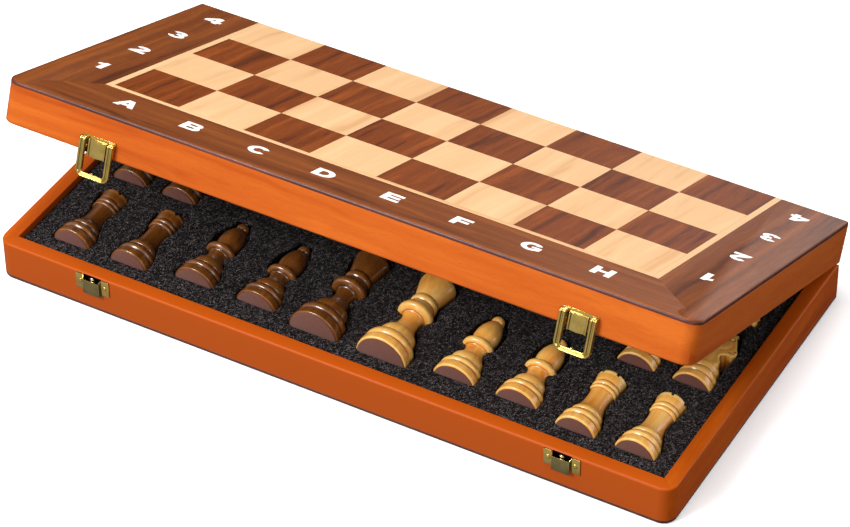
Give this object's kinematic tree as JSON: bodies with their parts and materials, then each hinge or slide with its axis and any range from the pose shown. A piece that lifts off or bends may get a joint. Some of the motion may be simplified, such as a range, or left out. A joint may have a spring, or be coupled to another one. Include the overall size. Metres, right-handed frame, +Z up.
{
  "type": "folding chess set case",
  "caption": "Folding wooden chessboard case with a hinged lid, two swinging brass latches and contour-cut foam holding a full set of turned men.",
  "frame": {"origin": "centre of the closed case's footprint, on the underside that rests on the table", "axes": "+X along the files to the right seen from the latches, +Y from the latches to the hinges, +Z up"},
  "size_m": [0.5066, 0.2648, 0.1497],
  "materials": {
    "rail_wood": "stained orange-brown hardwood, satin lacquer, grain along each rail",
    "panel_board": "dark stained board edge under the veneer, rounded, satin",
    "border_walnut": "walnut veneer, straight grain along each strip, satin lacquer",
    "maple_veneer": "maple veneer, fine even grain, satin lacquer",
    "walnut_veneer": "dark walnut veneer, straight dark-striped grain front to back, satin lacquer",
    "foam": "black open-cell foam, matt, speckled by its cells",
    "lining_foam": "thin black foam lining, matt",
    "nail_steel": "round nail heads, brassed at the sides and bright in the middle",
    "latch_brass": "pressed sheet, polished brass plating",
    "bail_brass": "pressed loop, polished brass plating",
    "hinge_brass": "rolled sheet leaves, brass plating",
    "pin_brass": "drawn pin",
    "screw_brass": "slotted countersunk heads",
    "walnut_men": "turned, stained walnut brown and lacquered, glossy; mauve felt under the base",
    "boxwood_men": "turned boxwood yellow, lacquered, satin to glossy; mauve felt under the base"
  },
  "bodies": {
    "base": {"base_front_rail": "rail_wood", "base_back_rail": "rail_wood", "base_left_rail": "rail_wood", "base_right_rail": "rail_wood", "base_panel": "panel_board", "base_border_veneer": "border_walnut", "base_light_squares": "maple_veneer", "base_dark_squares": "walnut_veneer", "base_foam": "foam", "catch_plates": "latch_brass", "catch_nails": "nail_steel", "hinge_base_leaves": "hinge_brass", "hinge_base_screws": "screw_brass", "hinge_pins": "pin_brass"},
    "lid": {"lid_front_rail": "rail_wood", "lid_back_rail": "rail_wood", "lid_left_rail": "rail_wood", "lid_right_rail": "rail_wood", "lid_panel": "panel_board", "lid_border_veneer": "border_walnut", "lid_light_squares": "maple_veneer", "lid_dark_squares": "walnut_veneer", "lid_lining": "lining_foam", "latch_plates": "latch_brass", "hinge_lid_leaves": "hinge_brass", "hinge_lid_screws": "screw_brass"},
    "left_bail": {"left_bail": "bail_brass"},
    "right_bail": {"right_bail": "bail_brass"},
    "dark_rook_a": {"dark_rook_a": "walnut_men"},
    "dark_rook_b": {"dark_rook_b": "walnut_men"},
    "dark_bishop_a": {"dark_bishop_a": "walnut_men"},
    "dark_bishop_b": {"dark_bishop_b": "walnut_men"},
    "dark_king": {"dark_king": "walnut_men"},
    "dark_queen": {"dark_queen": "walnut_men"},
    "dark_knight_a": {"dark_knight_a": "walnut_men"},
    "dark_knight_b": {"dark_knight_b": "walnut_men"},
    "dark_pawn_a": {"dark_pawn_a": "walnut_men"},
    "dark_pawn_b": {"dark_pawn_b": "walnut_men"},
    "dark_pawn_c": {"dark_pawn_c": "walnut_men"},
    "dark_pawn_d": {"dark_pawn_d": "walnut_men"},
    "dark_pawn_e": {"dark_pawn_e": "walnut_men"},
    "dark_pawn_f": {"dark_pawn_f": "walnut_men"},
    "dark_pawn_g": {"dark_pawn_g": "walnut_men"},
    "dark_pawn_h": {"dark_pawn_h": "walnut_men"},
    "light_rook_a": {"light_rook_a": "boxwood_men"},
    "light_rook_b": {"light_rook_b": "boxwood_men"},
    "light_bishop_a": {"light_bishop_a": "boxwood_men"},
    "light_bishop_b": {"light_bishop_b": "boxwood_men"},
    "light_king": {"light_king": "boxwood_men"},
    "light_queen": {"light_queen": "boxwood_men"},
    "light_knight_a": {"light_knight_a": "boxwood_men"},
    "light_knight_b": {"light_knight_b": "boxwood_men"},
    "light_pawn_a": {"light_pawn_a": "boxwood_men"},
    "light_pawn_b": {"light_pawn_b": "boxwood_men"},
    "light_pawn_c": {"light_pawn_c": "boxwood_men"},
    "light_pawn_d": {"light_pawn_d": "boxwood_men"},
    "light_pawn_e": {"light_pawn_e": "boxwood_men"},
    "light_pawn_f": {"light_pawn_f": "boxwood_men"},
    "light_pawn_g": {"light_pawn_g": "boxwood_men"},
    "light_pawn_h": {"light_pawn_h": "boxwood_men"}
  },
  "joints": [
    {"name": "lid_hinge", "type": "hinge", "parent": "base", "child": "lid", "pos_m": [0, 0.1254, 0.0306], "axis": [-1, 0, 0], "range_deg": [-21.16, 158.84]},
    {"name": "left_bail_swing", "type": "hinge", "parent": "lid", "child": "left_bail", "pos_m": [-0.1765, -0.10644, 0.1317], "axis": [-1, 0, 0], "range_deg": [0, 110]},
    {"name": "right_bail_swing", "type": "hinge", "parent": "lid", "child": "right_bail", "pos_m": [0.1765, -0.10644, 0.1317], "axis": [-1, 0, 0], "range_deg": [0, 110]},
    {"name": "dark_rook_a_lift", "type": "slide", "parent": "base", "child": "dark_rook_a", "axis": [0, 0, 1], "range_m": [0, 0.06]},
    {"name": "dark_rook_b_lift", "type": "slide", "parent": "base", "child": "dark_rook_b", "axis": [0, 0, 1], "range_m": [0, 0.06]},
    {"name": "dark_bishop_a_lift", "type": "slide", "parent": "base", "child": "dark_bishop_a", "axis": [0, 0, 1], "range_m": [0, 0.06]},
    {"name": "dark_bishop_b_lift", "type": "slide", "parent": "base", "child": "dark_bishop_b", "axis": [0, 0, 1], "range_m": [0, 0.06]},
    {"name": "dark_king_lift", "type": "slide", "parent": "base", "child": "dark_king", "axis": [0, 0, 1], "range_m": [0, 0.06]},
    {"name": "dark_queen_lift", "type": "slide", "parent": "base", "child": "dark_queen", "axis": [0, 0, 1], "range_m": [0, 0.03]},
    {"name": "dark_knight_a_lift", "type": "slide", "parent": "base", "child": "dark_knight_a", "axis": [0, 0, 1], "range_m": [0, 0.045]},
    {"name": "dark_knight_b_lift", "type": "slide", "parent": "base", "child": "dark_knight_b", "axis": [0, 0, 1], "range_m": [0, 0.045]},
    {"name": "dark_pawn_a_lift", "type": "slide", "parent": "base", "child": "dark_pawn_a", "axis": [0, 0, 1], "range_m": [0, 0.03]},
    {"name": "dark_pawn_b_lift", "type": "slide", "parent": "base", "child": "dark_pawn_b", "axis": [0, 0, 1], "range_m": [0, 0.03]},
    {"name": "dark_pawn_c_lift", "type": "slide", "parent": "base", "child": "dark_pawn_c", "axis": [0, 0, 1], "range_m": [0, 0.03]},
    {"name": "dark_pawn_d_lift", "type": "slide", "parent": "base", "child": "dark_pawn_d", "axis": [0, 0, 1], "range_m": [0, 0.03]},
    {"name": "dark_pawn_e_lift", "type": "slide", "parent": "base", "child": "dark_pawn_e", "axis": [0, 0, 1], "range_m": [0, 0.03]},
    {"name": "dark_pawn_f_lift", "type": "slide", "parent": "base", "child": "dark_pawn_f", "axis": [0, 0, 1], "range_m": [0, 0.03]},
    {"name": "dark_pawn_g_lift", "type": "slide", "parent": "base", "child": "dark_pawn_g", "axis": [0, 0, 1], "range_m": [0, 0.03]},
    {"name": "dark_pawn_h_lift", "type": "slide", "parent": "base", "child": "dark_pawn_h", "axis": [0, 0, 1], "range_m": [0, 0.03]},
    {"name": "light_rook_a_lift", "type": "slide", "parent": "base", "child": "light_rook_a", "axis": [0, 0, 1], "range_m": [0, 0.06]},
    {"name": "light_rook_b_lift", "type": "slide", "parent": "base", "child": "light_rook_b", "axis": [0, 0, 1], "range_m": [0, 0.06]},
    {"name": "light_bishop_a_lift", "type": "slide", "parent": "base", "child": "light_bishop_a", "axis": [0, 0, 1], "range_m": [0, 0.06]},
    {"name": "light_bishop_b_lift", "type": "slide", "parent": "base", "child": "light_bishop_b", "axis": [0, 0, 1], "range_m": [0, 0.06]},
    {"name": "light_king_lift", "type": "slide", "parent": "base", "child": "light_king", "axis": [0, 0, 1], "range_m": [0, 0.06]},
    {"name": "light_queen_lift", "type": "slide", "parent": "base", "child": "light_queen", "axis": [0, 0, 1], "range_m": [0, 0.03]},
    {"name": "light_knight_a_lift", "type": "slide", "parent": "base", "child": "light_knight_a", "axis": [0, 0, 1], "range_m": [0, 0.045]},
    {"name": "light_knight_b_lift", "type": "slide", "parent": "base", "child": "light_knight_b", "axis": [0, 0, 1], "range_m": [0, 0.045]},
    {"name": "light_pawn_a_lift", "type": "slide", "parent": "base", "child": "light_pawn_a", "axis": [0, 0, 1], "range_m": [0, 0.03]},
    {"name": "light_pawn_b_lift", "type": "slide", "parent": "base", "child": "light_pawn_b", "axis": [0, 0, 1], "range_m": [0, 0.03]},
    {"name": "light_pawn_c_lift", "type": "slide", "parent": "base", "child": "light_pawn_c", "axis": [0, 0, 1], "range_m": [0, 0.03]},
    {"name": "light_pawn_d_lift", "type": "slide", "parent": "base", "child": "light_pawn_d", "axis": [0, 0, 1], "range_m": [0, 0.03]},
    {"name": "light_pawn_e_lift", "type": "slide", "parent": "base", "child": "light_pawn_e", "axis": [0, 0, 1], "range_m": [0, 0.03]},
    {"name": "light_pawn_f_lift", "type": "slide", "parent": "base", "child": "light_pawn_f", "axis": [0, 0, 1], "range_m": [0, 0.03]},
    {"name": "light_pawn_g_lift", "type": "slide", "parent": "base", "child": "light_pawn_g", "axis": [0, 0, 1], "range_m": [0, 0.03]},
    {"name": "light_pawn_h_lift", "type": "slide", "parent": "base", "child": "light_pawn_h", "axis": [0, 0, 1], "range_m": [0, 0.03]}
  ]
}
